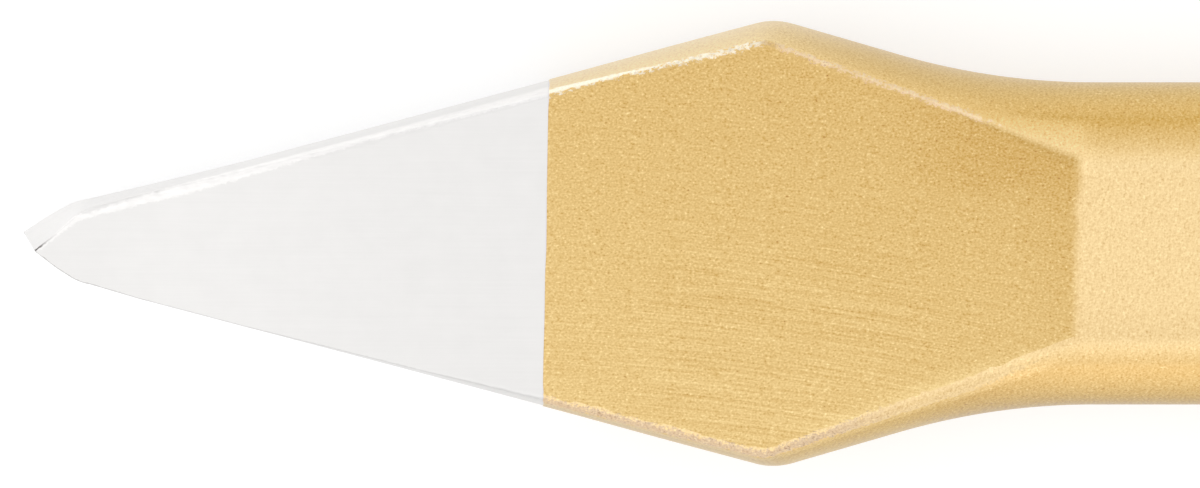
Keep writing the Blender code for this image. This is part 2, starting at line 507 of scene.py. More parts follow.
        step_y = np.roll(y, -1, axis=1) - np.roll(y, 1, axis=1)
        step_z = np.roll(z, -1, axis=1) - np.roll(z, 1, axis=1)
        size = np.maximum(np.hypot(step_y, step_z), 1e-9)
        turn = np.arccos(np.clip(np.abs(step_y) / size, 0.0, 1.0)) / (math.pi / 2)
        lift = lifts[:, None]
        y, z = y - lift * step_z / size, z + lift * step_y / size
        chamfer = self.length - self.struck_chamfer
        x = setbacks + lift * eased((setbacks - chamfer) / self.struck_chamfer + 1.0)
        x = np.minimum(x, CAD_BOX[1][0] - self.steel_low.x)

        spans = (self.roll_fade, self.skew_fade, self.offset_fade)
        roll, skew, offset = (np.interp(setbacks, span, (1.0, 0.0)) for span in spans)
        x = x + (z + self.edge_width / 2) * math.tan(self.edge_skew) * skew
        y = y + self.edge_offset * offset - z * math.tan(self.edge_roll) * roll
        middle_z = (self.steel_low.z + self.steel_high.z) / 2
        points = np.stack([x + self.steel_low.x, y, z + middle_z], axis=-1)

        waver = Swing(self.crease_seed, self.crease_step, self.head_width).at(y + self.head_width / 2)
        crease = self.runout + y * math.tan(self.crease_slant) + self.crease_swing * waver
        filed = np.repeat([float(quarter.filed) for quarter in Quarter], sum(Strip))
        plain_end, filed_end = self.face_steps
        on_face = np.clip(np.where(filed > 0, filed_end, plain_end) - self.steps + 1.0, 0.0, 1.0)
        ground = eased((crease - setbacks) / self.crease_reach + 0.5) * on_face
        struck = eased((setbacks - chamfer) / self.struck_chamfer)
        gap = gap + self.wear_gap * eased((setbacks - self.runout) / self.wear_fade + 1.0)
        marks = {
            Mark.EDGE: (gap + self.bar_flat * struck) / MM,
            Mark.FILED: np.broadcast_to(filed, setbacks.shape),
            Mark.GROUND: ground,
            Mark.TURN: turn * (1.0 - struck),
        }
        return Skin(points, marks)

    def build(self, finish: "GroundSteel") -> bpy.types.Object:
        """Builds the forging in its place and dresses it.

        Args:
            finish: the bright steel.

        Returns:
            The piece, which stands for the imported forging.
        """
        stations = self.stations()
        setbacks = np.repeat(stations[:, None], len(self.steps), axis=1)
        skin = self.skin(setbacks, np.zeros(len(stations)))
        return placed("ground_forging", skin, finish.material(self), "forged_steel")


@dataclass
class LacquerCoat:
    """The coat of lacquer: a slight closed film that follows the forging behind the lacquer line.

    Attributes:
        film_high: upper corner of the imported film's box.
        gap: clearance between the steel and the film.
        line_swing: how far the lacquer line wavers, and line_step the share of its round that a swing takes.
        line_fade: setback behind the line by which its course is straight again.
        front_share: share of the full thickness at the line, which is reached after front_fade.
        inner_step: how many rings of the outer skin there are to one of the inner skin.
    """

    forging: Forging
    film_high: Vector
    gap: float = 0.02 * MM
    line_swing: float = 0.03 * MM
    line_step: float = 0.02
    line_seed: int = 51
    line_fade: float = 3.0 * MM
    front_share: float = 0.35
    front_fade: float = 9.0 * MM
    lip_rings: int = 6
    inner_step: int = 4

    @property
    def thickness(self) -> float:
        """Thickness of the film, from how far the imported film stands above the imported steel."""
        return self.film_high.z - self.forging.steel_high.z - self.gap

    def front(self, setbacks: Grid) -> Grid:
        """Setbacks moved to the lacquer line's own course.

        The line slants across the broad faces and wavers a little, and the shift fades out behind it.

        Args:
            setbacks: rings by places.

        Returns:
            The moved setbacks.
        """
        line = self.forging.lacquer_line
        across = self.forging.skin(np.full((1, setbacks.shape[1]), line), np.zeros(1)).points[0, :, 1]
        round_share = np.arange(setbacks.shape[1]) / setbacks.shape[1]
        waver = Swing(self.line_seed, self.line_step, 1.0).at(round_share)
        shift = across * math.tan(self.forging.line_slant) + self.line_swing * waver
        return setbacks + shift * (1.0 - eased((setbacks - line) / self.line_fade))

    def build(self, finish: "GoldLacquer") -> bpy.types.Object:
        """Builds the film in its place and dresses it.

        Its rings run forward along the inner skin, round the lip at the lacquer line by a quarter circle,
        and back along the outer skin. The film thickens behind the line by a smooth step.

        Args:
            finish: the gold lacquer.

        Returns:
            The piece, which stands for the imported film.
        """
        line = self.forging.lacquer_line
        outer = self.forging.stations(line + self.thickness)
        inner = np.unique(np.append(outer[:: self.inner_step], outer[-1]))[::-1]
        turn = np.linspace(0.0, math.pi / 2, self.lip_rings)
        lip = line + self.thickness * (1.0 - np.cos(turn))
        stations = np.concatenate([inner, lip, outer[1:]])
        rises = np.concatenate([np.zeros(len(inner)), np.sin(turn), np.ones(len(outer) - 1)])
        setbacks = np.repeat(stations[:, None], len(self.forging.steps), axis=1)
        share = self.front_share + (1.0 - self.front_share) * eased((stations - line) / self.front_fade)
        skin = self.forging.skin(self.front(setbacks), self.gap + self.thickness * share * rises)
        return placed("lacquer_coat", skin, finish.material(self.forging), "lacquer_film")


def placed(name: str, skin: Skin, material: bpy.types.Material, node: str) -> bpy.types.Object:
    """Puts a skin into the scene as a piece that rides on the chisel.

    Args:
        name: the piece's name.
        skin: its surface.
        material: its finish.
        node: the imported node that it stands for.

    Returns:
        The piece.
    """
    piece = bpy.data.objects.new(name, skin.mesh(name))
    piece.data.materials.append(material)
    bpy.context.scene.collection.objects.link(piece)
    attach(piece, BODY)
    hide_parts(node)
    LOG.info("%s: %d faces, stands for %s", name, len(piece.data.polygons), node)
    return piece


@dataclass(frozen=True)
class Fade:
    """A smooth step of a number: from a start at a low limit to an end at a high one."""

    low: "Feed"
    high: "Feed"
    start: "Feed" = 0.0
    end: "Feed" = 1.0


@dataclass(frozen=True)
class Value:
    """An output in a node tree. A number can be added, subtracted, multiplied and faded."""

    nodes: "Nodes"
    socket: bpy.types.NodeSocket

    def __add__(self, other: "Feed") -> "Value":
        """Sum of two numbers."""
        return self.nodes.math("ADD", self, other)

    def __sub__(self, other: "Feed") -> "Value":
        """Number less another one."""
        return self.nodes.math("SUBTRACT", self, other)

    def __rsub__(self, other: float) -> "Value":
        """Plain number less this one."""
        return self.nodes.math("SUBTRACT", other, self)

    def __mul__(self, other: "Feed") -> "Value":
        """Product of two numbers."""
        return self.nodes.math("MULTIPLY", self, other)

    def faded(self, *fades: Fade) -> "Value":
        """Product of one or more smooth steps of the number."""
        feeds = ({0: self, 1: fade.low, 2: fade.high, 3: fade.start, 4: fade.end} for fade in fades)
        steps = (self.nodes.out("MapRange", 0, feed, interpolation_type="SMOOTHSTEP") for feed in feeds)
        return reduce(mul, steps)


Fades = tuple[Fade, ...]
Feed = Value | float | Triple


class Nodes:
    """A node tree, written through short calls that return values."""

    def __init__(self, tree: bpy.types.NodeTree) -> None:
        """Takes the tree to write to."""
        self.tree = tree

    def out(self, kind: str, output: str | int, feeds: dict[str | int, Feed], **settings: object) -> Value:
        """Adds a node.

        Args:
            kind: the node's type, without its common beginning.
            output: which of its outputs is wanted.
            feeds: for each input, a value to link or to set.
            settings: the node's own settings.

        Returns:
            That output.
        """
        made = self.tree.nodes.new("ShaderNode" + kind)
        for name, value in settings.items():
            setattr(made, name, value)
        for name, value in feeds.items():
            self.feed(made.inputs[name], value)
        return Value(self, made.outputs[output])

    def feed(self, socket: bpy.types.NodeSocket, value: Feed) -> None:
        """Links an output to an input, or sets the input's value, where a colour is opaque."""
        if isinstance(value, Value):
            self.tree.links.new(value.socket, socket)
        else:
            socket.default_value = (*value, 1.0) if socket.type == "RGBA" else value

    def math(self, operation: str, first: Feed, second: Feed = 0.0) -> Value:
        """Result of one sum on two numbers."""
        return self.out("Math", 0, {0: first, 1: second}, operation=operation)

    def mixed(self, share: Feed, first: Feed, second: Feed) -> Value:
        """Colour between two colours."""
        return self.out("Mix", 2, {0: share, 6: first, 7: second}, data_type="RGBA")

    def added(self, first: Feed, second: Feed) -> Value:
        """Sum of two colours."""
        return self.out("VectorMath", 0, {0: first, 1: second}, operation="ADD")

    def scaled(self, colour: Feed, factor: Feed) -> Value:
        """Colour times a number."""
        return self.out("VectorMath", 0, {0: colour, "Scale": factor}, operation="SCALE")


class Sheet(Nodes):
    """The nodes of one piece's material, and what they read from the piece.

    Attributes:
        place: point of the piece in its own coordinates, and x, y and z its parts, in metres.
        setback: distance behind the cutting edge, in metres.
        from_line, from_corner, from_crease: the same behind the lacquer line, head corner and crease.
        edge, filed, ground, turn: the skin's marks.
        inside: distance from a broken edge's crest, in millimetres, and below 0 on the narrow side.
    """

    CREST = Fade(0.42, 0.58, 1.0, -1.0)  # which side of a crest a point is on, by turn

    def __init__(self, name: str, forging: Forging) -> None:
        """Starts a material that holds only its Principled shader and its output."""
        self.material = bpy.data.materials.new(name)
        self.material.use_nodes = True
        super().__init__(self.material.node_tree)
        self.place = self.out("TexCoord", "Object", {})
        self.x, self.y, self.z = (self.out("SeparateXYZ", part, {0: self.place}) for part in range(3))
        self.setback = self.x - forging.steel_low.x
        starts = (forging.lacquer_line, forging.head_setback, forging.runout)
        self.from_line, self.from_corner, self.from_crease = (self.setback - start for start in starts)
        marks = (self.out("Attribute", "Fac", {}, attribute_name=mark.value) for mark in Mark)
        self.edge, self.filed, self.ground, self.turn = marks
        self.inside = self.edge * self.turn.faded(self.CREST)

    def grain(self, size: Triple, detail: float = 1.0, place: Feed | None = None) -> Value:
        """Cloudy noise about 0.

        Args:
            size: length of a lump along each axis.
            detail: how many finer layers it has.
            place: where it is read, if not at the point itself.

        Returns:
            A number between about -0.5 and 0.5.
        """
        spread = tuple(1.0 / length for length in size)
        feeds = {"Vector": self.place if place is None else place, "Scale": spread}
        moved = self.out("Mapping", 0, feeds)
        return self.out("TexNoise", 0, {"Vector": moved, "Scale": 1.0, "Detail": detail}) - 0.5

    def bump(self, height: Feed, depth: float, below: Value | None = None) -> Value:
        """Normal of a relief.

        Args:
            height: its height, in a range of 1.
            depth: its full depth in metres.
            below: normal of the relief that it lies on.

        Returns:
            The bent normal.
        """
        feeds = {"Height": height, "Distance": depth, "Strength": 1.0}
        return self.out("Bump", 0, feeds if below is None else feeds | {"Normal": below})

    def dressed(self, **feeds: Feed) -> bpy.types.Material:
        """The material, with the shader's inputs set or linked by their names, with _ for a space."""
        for name, value in feeds.items():
            self.feed(self.tree.nodes["Principled BSDF"].inputs[name.replace("_", " ")], value)
        return self.material


@dataclass(frozen=True)
class GroundSteel:
    """Bright steel off a grinding belt: pale, with fine lines along the blade and cloudy patches.

    Attributes:
        dark_mark: colour of the dark mark on the filed edges behind the corners of the cutting edge.
        dark_reflection: colour of the painted dark reflection along the edges that were not filed.
        lacquer_shadow: colour of the painted shadow that the lacquer's edge casts on the steel just in front
            of it.
        tip_gain: painted light: how much brighter it is at the cutting edge than at the lacquer line.
        side_turn: turns between which the painted light of a narrow side sets in.
        side_across: that painted light by Y, most at +Y, and side_along its change by setback, at the bevel
            and behind it.
        crest_lift: painted light that evens out a filed edge by turn, as it reflects less in the middle of
            its turn.
        band_outer: outer bounds of a painted highlight band: millimetres inside the crest, and change per
            millimetre.
        band_tip: shift of those bounds by setback.
        band_inner: the inner bound by setback, and the share of it near the cutting edge.
        band_limit: how the band ends at the inner bound.
        band_light: how bright that painted highlight is, by its nicks.
        band_rag: how far nicks and flecks make it ragged, in millimetres.
        edge_rag: how far flecks make the dark mark and the painted dark reflection ragged, in millimetres.
    """

    slot: str = "ground_steel"
    colour: Triple = (0.700, 0.690, 0.680)
    dark_mark: Triple = (0.07, 0.06, 0.055)
    dark_reflection: Triple = (0.42, 0.41, 0.40)
    lacquer_shadow: Triple = (0.62, 0.59, 0.65)
    roughness: float = 0.36
    cloud_roughness: float = 0.10
    cloud_light: float = 0.09
    cloud_size: Triple = (1.6 * MM, 1.6 * MM, 1.6 * MM)
    line_light: float = 0.05
    line_depth: float = 0.002 * MM
    line_size: Triple = (7.0 * MM, 0.12 * MM, 0.5 * MM)
    fleck_size: Triple = (0.25 * MM, 0.25 * MM, 0.25 * MM)
    nick_size: Triple = (0.60 * MM, 0.25 * MM, 0.25 * MM)
    tip_gain: float = 1.06
    side_turn: Span = (0.6, 0.95)
    side_across: Fade = Fade(-2.0 * MM, 2.0 * MM, 0.97, 1.12)
    side_along: Fades = (Fade(3.2 * MM, 4.2 * MM, 1.03, 0.965), Fade(6.0 * MM, 15.0 * MM, 0.0, 0.035))
    crest_lift: Fades = (Fade(0.06, 0.38, 0.0, 0.183), Fade(0.52, 0.92, 1.0, 0.0))
    band_outer: tuple[Span, Span] = ((0.605, -0.087), (0.645, -0.055))
    band_tip: Fade = Fade(3.2 * MM, 4.4 * MM, -0.6, 0.0)
    band_inner: Fades = (Fade(9.0 * MM, 24.0 * MM, 0.62, 0.05), Fade(2.0 * MM, 5.0 * MM, 0.35, 1.0))
    band_limit: Fade = Fade(-0.1, 0.1, 1.0, 0.0)
    band_light: Fade = Fade(-0.20, 0.15, 0.10, 0.155)
    band_rag: Span = (0.30, 0.35)
    edge_rag: float = 0.16
    dark_mark_run: Fades = (Fade(1.15 * MM, 1.75 * MM, 0.95, 0.35), Fade(1.6 * MM, 2.6 * MM, 1.0, 0.0))
    dark_mark_width: Fade = Fade(0.04, 0.15, 1.0, 0.0)
    dark_reflection_run: Fade = Fade(2.0 * MM, 9.0 * MM, 0.85, 0.20)
    dark_reflection_width: Fade = Fade(0.01, 0.08, 1.0, 0.0)
    lacquer_shadow_run: Fade = Fade(-0.09 * MM, -0.02 * MM, 0.0, 0.5)

    def marks_and_shade(self, sheet: Sheet, body: Feed, slant: float) -> Value:
        """The steel with a dark mark on its filed edges, a painted dark reflection on its plain ones, and a
        painted lacquer shadow.

        Args:
            sheet: the material's nodes.
            body: colour of the steel without them.
            slant: angle of the lacquer line across the blade.

        Returns:
            The colour.
        """
        gap = sheet.edge + sheet.grain(self.fleck_size, detail=2.0) * self.edge_rag
        dark_mark_share = sheet.filed * sheet.setback.faded(*self.dark_mark_run) * gap.faded(self.dark_mark_width)
        # painted dark reflection along the plain edges near the cutting edge
        dark_reflection = (1.0 - sheet.filed) * sheet.setback.faded(self.dark_reflection_run) * gap.faded(self.dark_reflection_width)
        # painted shadow of the lacquer's edge on the steel just in front of the line
        lacquer_shadow = (sheet.from_line - sheet.y * math.tan(slant)).faded(self.lacquer_shadow_run)
        colour = sheet.mixed(lacquer_shadow, body, self.lacquer_shadow)
        colour = sheet.mixed(dark_reflection, colour, self.dark_reflection)
        return sheet.mixed(dark_mark_share, colour, self.dark_mark)

    def filed_highlight(self, sheet: Sheet) -> Value:
        """Painted highlight on the filed edges: evened out round their turn, with one ragged bright band
        along them.

        The band starts on the face at the cutting edge, and climbs over the crest to the narrow side.

        Args:
            sheet: the material's nodes.

        Returns:
            A factor, which is 1 away from the filed edges.
        """
        lift = sheet.filed * sheet.turn.faded(*self.crest_lift)
        nicks, flecks = sheet.grain(self.nick_size, detail=2.0), sheet.grain(self.fleck_size, detail=2.0)
        nick_rag, fleck_rag = self.band_rag
        inside = sheet.inside + nicks * nick_rag + flecks * fleck_rag
        tip = sheet.setback.faded(self.band_tip)
        outer = [sheet.setback * (rise / MM) + start + tip for start, rise in self.band_outer]
        inner = sheet.setback.faded(*self.band_inner)
        band = sheet.filed * inside.faded(Fade(*outer)) * (inside - inner).faded(self.band_limit)
        return (lift + 1.0) * (band * nicks.faded(self.band_light) + 1.0)

    def material(self, forging: Forging) -> bpy.types.Material:
        """Material of the steel.

        Args:
            forging: gives where the cutting edge and the lacquer line are.

        Returns:
            The material.
        """
        sheet = Sheet("ground_steel", forging)
        lines, clouds = sheet.grain(self.line_size, detail=3.0), sheet.grain(self.cloud_size, detail=4.0)
        tone = lines * self.line_light + clouds * self.cloud_light + 1.0
        # painted light: brighter towards the cutting edge, on the narrow sides and most at +Y, and along the
        # filed edges
        tone = tone * sheet.setback.faded(Fade(0.0, forging.lacquer_line, self.tip_gain, 1.0))
        bevel, blade = (sheet.setback.faded(fade) for fade in self.side_along)
        side = sheet.y.faded(self.side_across) * (bevel + blade)
        tone = tone * sheet.turn.faded(Fade(*self.side_turn, 1.0, side)) * self.filed_highlight(sheet)
        return sheet.dressed(
            Base_Color=self.marks_and_shade(sheet, sheet.scaled(self.colour, tone), forging.line_slant),
            Roughness=clouds * self.cloud_roughness + self.roughness,
            Normal=sheet.bump(lines, self.line_depth),
            Metallic=1.0,
        )


@dataclass(frozen=True)
class GoldLacquer:
    """Gold lacquer full of metal flake, a coat slight enough to show the grinding lines of the face below
    it.

    Distances from an edge are in millimetres. Those along the axis are in metres, from the lacquer line, the
    head's corner or the crease.

    Attributes:
        slope, pale_slope: colours where the bar turns to a narrow side at +Y and at -Y, as painted shade and
            painted light.
        rim, shaded_rim, neck_rim: colours on the narrow sides at +Y and at -Y, and at -Y along the neck,
            darkened as painted shade, most at -Y.
        lit_head_side: painted light on the front of the head's narrow sides, up to a little behind its
            corner, most at +Y.
        bare_wear, bright_wear: colours of the worn filed edges, on the head's front and behind it.
        dull_wear, pale_wear: colours of the other worn edges, on the head and behind it.
        fleck: colour of the flecks in worn edges.
        flake_light: what a bright flake or painted light adds to the colour, and a dull flake or painted
            shade takes.
        shine_light: what a painted highlight on an edge adds to the colour.
        metal_share: how metallic the coat is where it isn't worn.
        speck_light: weights of the cube of the specks and of the specks themselves.
        bar_specks: share of their light by turn, and face_specks what the faces add to it.
        peel: size of the dimples that the coat dried with.
        peel_shift: shift between a dimple's painted light side and its painted dark side.
        pits: painted shade in the deepest dimples.
        face_fall: painted shade: how much the face darkens per metre along the axis and per metre across it.
            shade, dusk: painted shade on the face before the crease, and along its rear edge at +Y.
        rear_band: a paler band along the plain rear edge of the face.
        line_centre: setback and Y of the place where the grinding lines show most.
        line_squeeze: how much a length along the axis counts in the distance from there.
        line_slope: fall of the grinding lines at the lacquer line, per length along the axis.
        line_bend: how much that fall grows, per length along the axis.
        wide_shine, narrow_shine: painted highlight along the bar's filed edges and, beside painted shade,
            along the others.
        glint: painted highlight along the filed rear edge of the head, which widens by glint_spread.
        strip_climb, strip_half: how far the front's worn strip lies on the narrow side, and its half width.
        wear_rag: how far chips and specks make a worn strip ragged, and chips still more on the front.
        inset, filed_inset, front_inset, rear_inset: how much narrower a worn strip is.
        corner_coat: coat that is left on the filed edge at the corner.
        flecks: how many flecks show by the noise, by the distance behind the corner and on filed edges.
    """

    slot: str = "gold_lacquer"
    face: Triple = (0.735, 0.480, 0.136)
    flat: Triple = (0.87, 0.615, 0.258)
    slope: Triple = (0.84, 0.505, 0.100)
    pale_slope: Triple = (0.93, 0.595, 0.185)
    rim: Triple = (0.76, 0.485, 0.095)
    shaded_rim: Triple = (0.48, 0.275, 0.0)
    neck_rim: Triple = (0.58, 0.345, 0.0)
    lit_head_side: Triple = (1.00, 0.735, 0.320)
    bare_wear: Triple = (1.00, 0.920, 0.740)
    bright_wear: Triple = (1.00, 0.735, 0.430)
    dull_wear: Triple = (0.72, 0.500, 0.280)
    pale_wear: Triple = (0.87, 0.600, 0.240)
    fleck: Triple = (0.52, 0.340, 0.170)
    flake_light: Triple = (0.58, 0.61, 0.43)
    shine_light: Triple = (0.56, 0.52, 0.36)
    metal_share: float = 0.2
    refraction: float = 2.0
    roughness: Fade = Fade(0.0, 1.0, 0.30, 0.52)

    speck: Triple = (0.15 * MM, 0.12 * MM, 0.12 * MM)
    speck_depth: float = 0.006 * MM
    speck_light: Span = (14.0, 0.75)
    bar_specks: Fade = Fade(0.10, 0.35, 0.72, 0.95)
    face_specks: float = 0.23
    chip: Triple = (0.40 * MM, 0.30 * MM, 0.30 * MM)
    peel: Triple = (0.20 * MM, 0.32 * MM, 0.28 * MM)
    peel_depth: float = 0.008 * MM
    peel_shift: Triple = (0.06 * MM, -0.02 * MM, 0.0)
    peel_light: float = 0.50
    pits: Fade = Fade(-0.24, -0.08, -0.09, 0.0)
    face_fall: Span = (2.2, 5.4)
    shade: Fade = Fade(-3.5 * MM, -0.5 * MM, 0.0, -0.06)
    shade_across: Fade = Fade(-4.0 * MM, 5.0 * MM, 0.3, 1.0)
    dusk: Fades = (Fade(-13.0 * MM, -4.5 * MM, 0.0, -0.10), Fade(-3.0 * MM, -0.8 * MM, 1.0, 0.35))
    dusk_across: Fade = Fade(2.0 * MM, 5.5 * MM)
    rear_band: Fade = Fade(0.10, 1.60, 0.16, 0.0)
    rear_band_start: Fade = Fade(1.0 * MM, 4.0 * MM)

    line_size: Triple = (7.0 * MM, 0.10 * MM, 1.0 * MM)
    line_light: float = 0.6
    line_centre: Span = (47.0 * MM, -7.0 * MM)
    line_squeeze: float = 0.6
    line_fade: Fade = Fade(3.0 * MM, 13.0 * MM, 1.0, 0.25)
    line_slope: float = 0.05
    line_bend: float = 5.8

    shine_start: Fade = Fade(-0.58, -0.30)
    wide_shine: Fade = Fade(0.0, 1.3, 0.105, 0.0)
    narrow_shine: Fades = (Fade(0.05, 0.45, 0.16, 0.0), Fade(0.4, 2.6, -0.07, 0.0))
    glint: Fades = (Fade(-10.0 * MM, -5.0 * MM, 0.13, 0.30), Fade(-0.5 * MM, 1.5 * MM, 1.0, 0.0))
    glint_start: Fade = Fade(-0.2 * MM, 1.0 * MM)
    glint_spread: Fade = Fade(-7.0 * MM, 0.0, 0.0, 1.2)
    glint_width: Fade = Fade(0.05, 0.65, 1.0, 0.0)

    upper: Fade = Fade(-2.0 * MM, 2.0 * MM)
    slope_turn: Fade = Fade(0.08, 0.45)
    rim_turn: Fade = Fade(0.36, 0.88)
    neck_run: Fades = (Fade(-1.0 * MM, 2.0 * MM), Fade(7.0 * MM, 14.0 * MM, 1.0, 0.0))
    lit_head_side_run: Fade = Fade(-4.0 * MM, 7.0 * MM, 1.0, 0.0)
    lit_head_side_turn: Fade = Fade(0.45, 0.95)
    lit_head_side_upper: Fade = Fade(0.0, 1.0, 0.25, 1.0)

    front_end: Fade = Fade(-1.5 * MM, 0.5 * MM, 1.0, 0.0)
    rear_start: Fade = Fade(2.0 * MM, 9.0 * MM)
    strip_climb: Fade = Fade(0.65 * MM, 9.65 * MM, 0.42, 0.0)
    strip_half: Fade = Fade(1.0 * MM, 7.0 * MM, 0.27, -0.03)
    wear_limit: Fade = Fade(0.10, 0.28, 0.95, 0.0)
    wear_rag: Triple = (0.50, 0.70, 0.25)
    inset: float = -0.04
    filed_inset: float = 0.11
    front_inset: float = -0.03
    rear_inset: float = -0.15
    corner_coat: Fades = (Fade(-1.2 * MM, -0.5 * MM, 0.0, 0.6), Fade(-0.2 * MM, 0.5 * MM, 1.0, 0.0))
    flecks: Fades = (
        Fade(-0.30, -0.14, 0.75, 0.0),
        Fade(5.0 * MM, 8.0 * MM, 1.0, 0.0),
        Fade(0.0, 1.0, 1.0, 0.5),
    )

    def grinding(self, sheet: Sheet) -> Value:
        """Grinding lines that fall more and more along the axis: straight lines on a sheared parabola.

        Args:
            sheet: the material's nodes.

        Returns:
            A number about 0, which is 0 off the ground faces.
        """
        fall = sheet.from_line * (self.line_bend / 2) + self.line_slope
        level = sheet.y + fall * sheet.from_line
        bent = sheet.out("CombineXYZ", 0, {0: sheet.x, 1: level, 2: sheet.z})
        middle, across = self.line_centre
        feeds = {0: (sheet.setback - middle) * self.line_squeeze, 1: sheet.y - across}
        far = sheet.out("VectorMath", "Value", {0: sheet.out("CombineXYZ", 0, feeds)}, operation="LENGTH")
        return sheet.grain(self.line_size, detail=2.0, place=bent) * far.faded(self.line_fade) * sheet.ground

    def tone(self, sheet: Sheet, specks: Value) -> Value:
        """How light the coat is at a point: its specks and lines, and the painted light and shade of its
        dimples and of the face.

        A dimple's painted light and shade is the difference between the relief and the relief a little way
        off.

        Args:
            sheet: the material's nodes.
            specks: the fine specks.

        Returns:
            A number about 0, to multiply the flakes' light by.
        """
        cubed, plain = self.speck_light
        lively = specks * (specks * specks * cubed + plain)
        lively = lively * (sheet.turn.faded(self.bar_specks) + sheet.ground * self.face_specks)
        shifted = sheet.added(sheet.place, self.peel_shift)
        relief = sheet.grain(self.peel, detail=2.0) - sheet.grain(self.peel, detail=2.0, place=shifted)
        relief = relief * self.peel_light + sheet.grain(self.peel).faded(self.pits)
        # painted shade on the face: falling across it, before the crease and along its rear edge at +Y
        along, across = self.face_fall
        fall = sheet.from_corner * -along - sheet.y * across
        shade = sheet.from_crease.faded(self.shade) * sheet.y.faded(self.shade_across)
        dusk = sheet.from_crease.faded(*self.dusk) * sheet.y.faded(self.dusk_across)
        rear_band = sheet.edge.faded(self.rear_band) * sheet.from_corner.faded(self.rear_band_start) * (1.0 - sheet.filed)
        face = sheet.ground * (fall + shade + dusk + rear_band)
        return lively + self.grinding(sheet) * self.line_light + (1.0 - sheet.ground) * relief + face

    def shine(self, sheet: Sheet, wear_gap: float) -> Value:
        """Painted highlights along rounded edges: wide on the bar's filed ones, narrow beside a painted
        shade strip on its others.

        A painted glint leads up to it along the filed rear edge of the head, and widens towards the crease.

        Args:
            sheet: the material's nodes.
            wear_gap: how far the bar's edges are set off from the wear.

        Returns:
            A number about 0.
        """
        gap = sheet.edge - wear_gap / MM
        narrow, dull = (gap.faded(fade) for fade in self.narrow_shine)
        along = sheet.filed * gap.faded(self.wide_shine) + (1.0 - sheet.filed) * (narrow + dull)
        bar = sheet.math("MAXIMUM", gap.faded(self.shine_start) - sheet.ground, 0.0)
        glint = sheet.from_crease.faded(*self.glint) * sheet.from_corner.faded(self.glint_start)
        spread = sheet.from_crease.faded(self.glint_spread)
        glint = glint * (sheet.edge - spread).faded(self.glint_width)
        return bar * along + glint * sheet.filed * (1.0 - sheet.ground)

    def body(self, sheet: Sheet) -> Value:
        """Colour of the coat without its flakes, by how far the section turns to the narrow side, with
        painted light and shade.

        The flats are paler than the ground faces, partly by their finish and partly as a painted reflection,
        and painted shade darkens the turn to the narrow sides, most at -Y.

        Args:
            sheet: the material's nodes.

        Returns:
            The colour.
        """
        upper = sheet.y.faded(self.upper)
        slope = sheet.mixed(upper, self.pale_slope, self.slope)
        neck = sheet.mixed(sheet.from_corner.faded(*self.neck_run), self.shaded_rim, self.neck_rim)
        rim = sheet.mixed(upper, neck, self.rim)
        # painted light on the head's narrow sides, most at +Y
        lit_head_side = sheet.from_corner.faded(self.lit_head_side_run) * upper.faded(self.lit_head_side_upper)
        # painted light and shade by turn and by side
        colour = sheet.mixed(sheet.turn.faded(self.slope_turn), self.flat, slope)
        colour = sheet.mixed(sheet.turn.faded(self.rim_turn), colour, rim)
        colour = sheet.mixed(lit_head_side * sheet.turn.faded(self.lit_head_side_turn), colour, self.lit_head_side)
        return sheet.mixed(sheet.ground, colour, self.face)

    def material(self, forging: Forging) -> bpy.types.Material:
        """Material of the lacquer, which is worn off in ragged strips along its broken edges.

        On the filed edges of the front a strip starts wide on the narrow side, and thins out to the crest.

        Args:
            forging: gives where the head is.

        Returns:
            The material.
        """
        sheet = Sheet("gold_lacquer", forging)
        specks, chips = sheet.grain(self.speck, detail=2.0), sheet.grain(self.chip, detail=2.0)
        front = sheet.filed * sheet.from_corner.faded(self.front_end)
        rear = sheet.from_corner.faded(self.rear_start)

        climb = sheet.inside + sheet.from_line.faded(self.strip_climb)
        strip = sheet.math("ABSOLUTE", climb) - sheet.from_line.faded(self.strip_half)
        gap = sheet.edge + front * (strip - sheet.edge)
        chip_rag, speck_rag, front_rag = self.wear_rag
        gap = gap + chips * chip_rag + specks * speck_rag + front * chips * front_rag + self.inset
        gap = gap + sheet.filed * self.filed_inset + front * self.front_inset
        gap = gap + rear * (1.0 - sheet.filed) * self.rear_inset
        kept = sheet.filed * sheet.from_corner.faded(*self.corner_coat)
        wear = gap.faded(self.wear_limit) * (1.0 - kept)

        by_noise, by_place, by_edge = self.flecks
        flecks = (chips + specks).faded(by_noise) * sheet.from_corner.faded(by_place)
        rubbed = sheet.mixed(rear, self.dull_wear, self.pale_wear)
        rubbed = sheet.mixed(sheet.filed, rubbed, self.bright_wear)
        rubbed = sheet.mixed(flecks * sheet.filed.faded(by_edge), rubbed, self.fleck)
        worn = sheet.mixed(front, rubbed, self.bare_wear)
        # flakes and lines with the tone's painted light and shade, and painted highlights along the edges
        light = sheet.scaled(self.flake_light, self.tone(sheet, specks))
        light = sheet.added(light, sheet.scaled(self.shine_light, self.shine(sheet, forging.wear_gap)))
        dimples = sheet.bump(sheet.grain(self.peel), self.peel_depth)
        return sheet.dressed(
            Base_Color=sheet.added(sheet.mixed(wear, self.body(sheet), worn), light),
            Roughness=sheet.ground.faded(self.roughness),
            Normal=sheet.bump(specks, self.speck_depth, dimples),
            Metallic=(1.0 - wear) * self.metal_share + front * wear,
            IOR=self.refraction,
        )


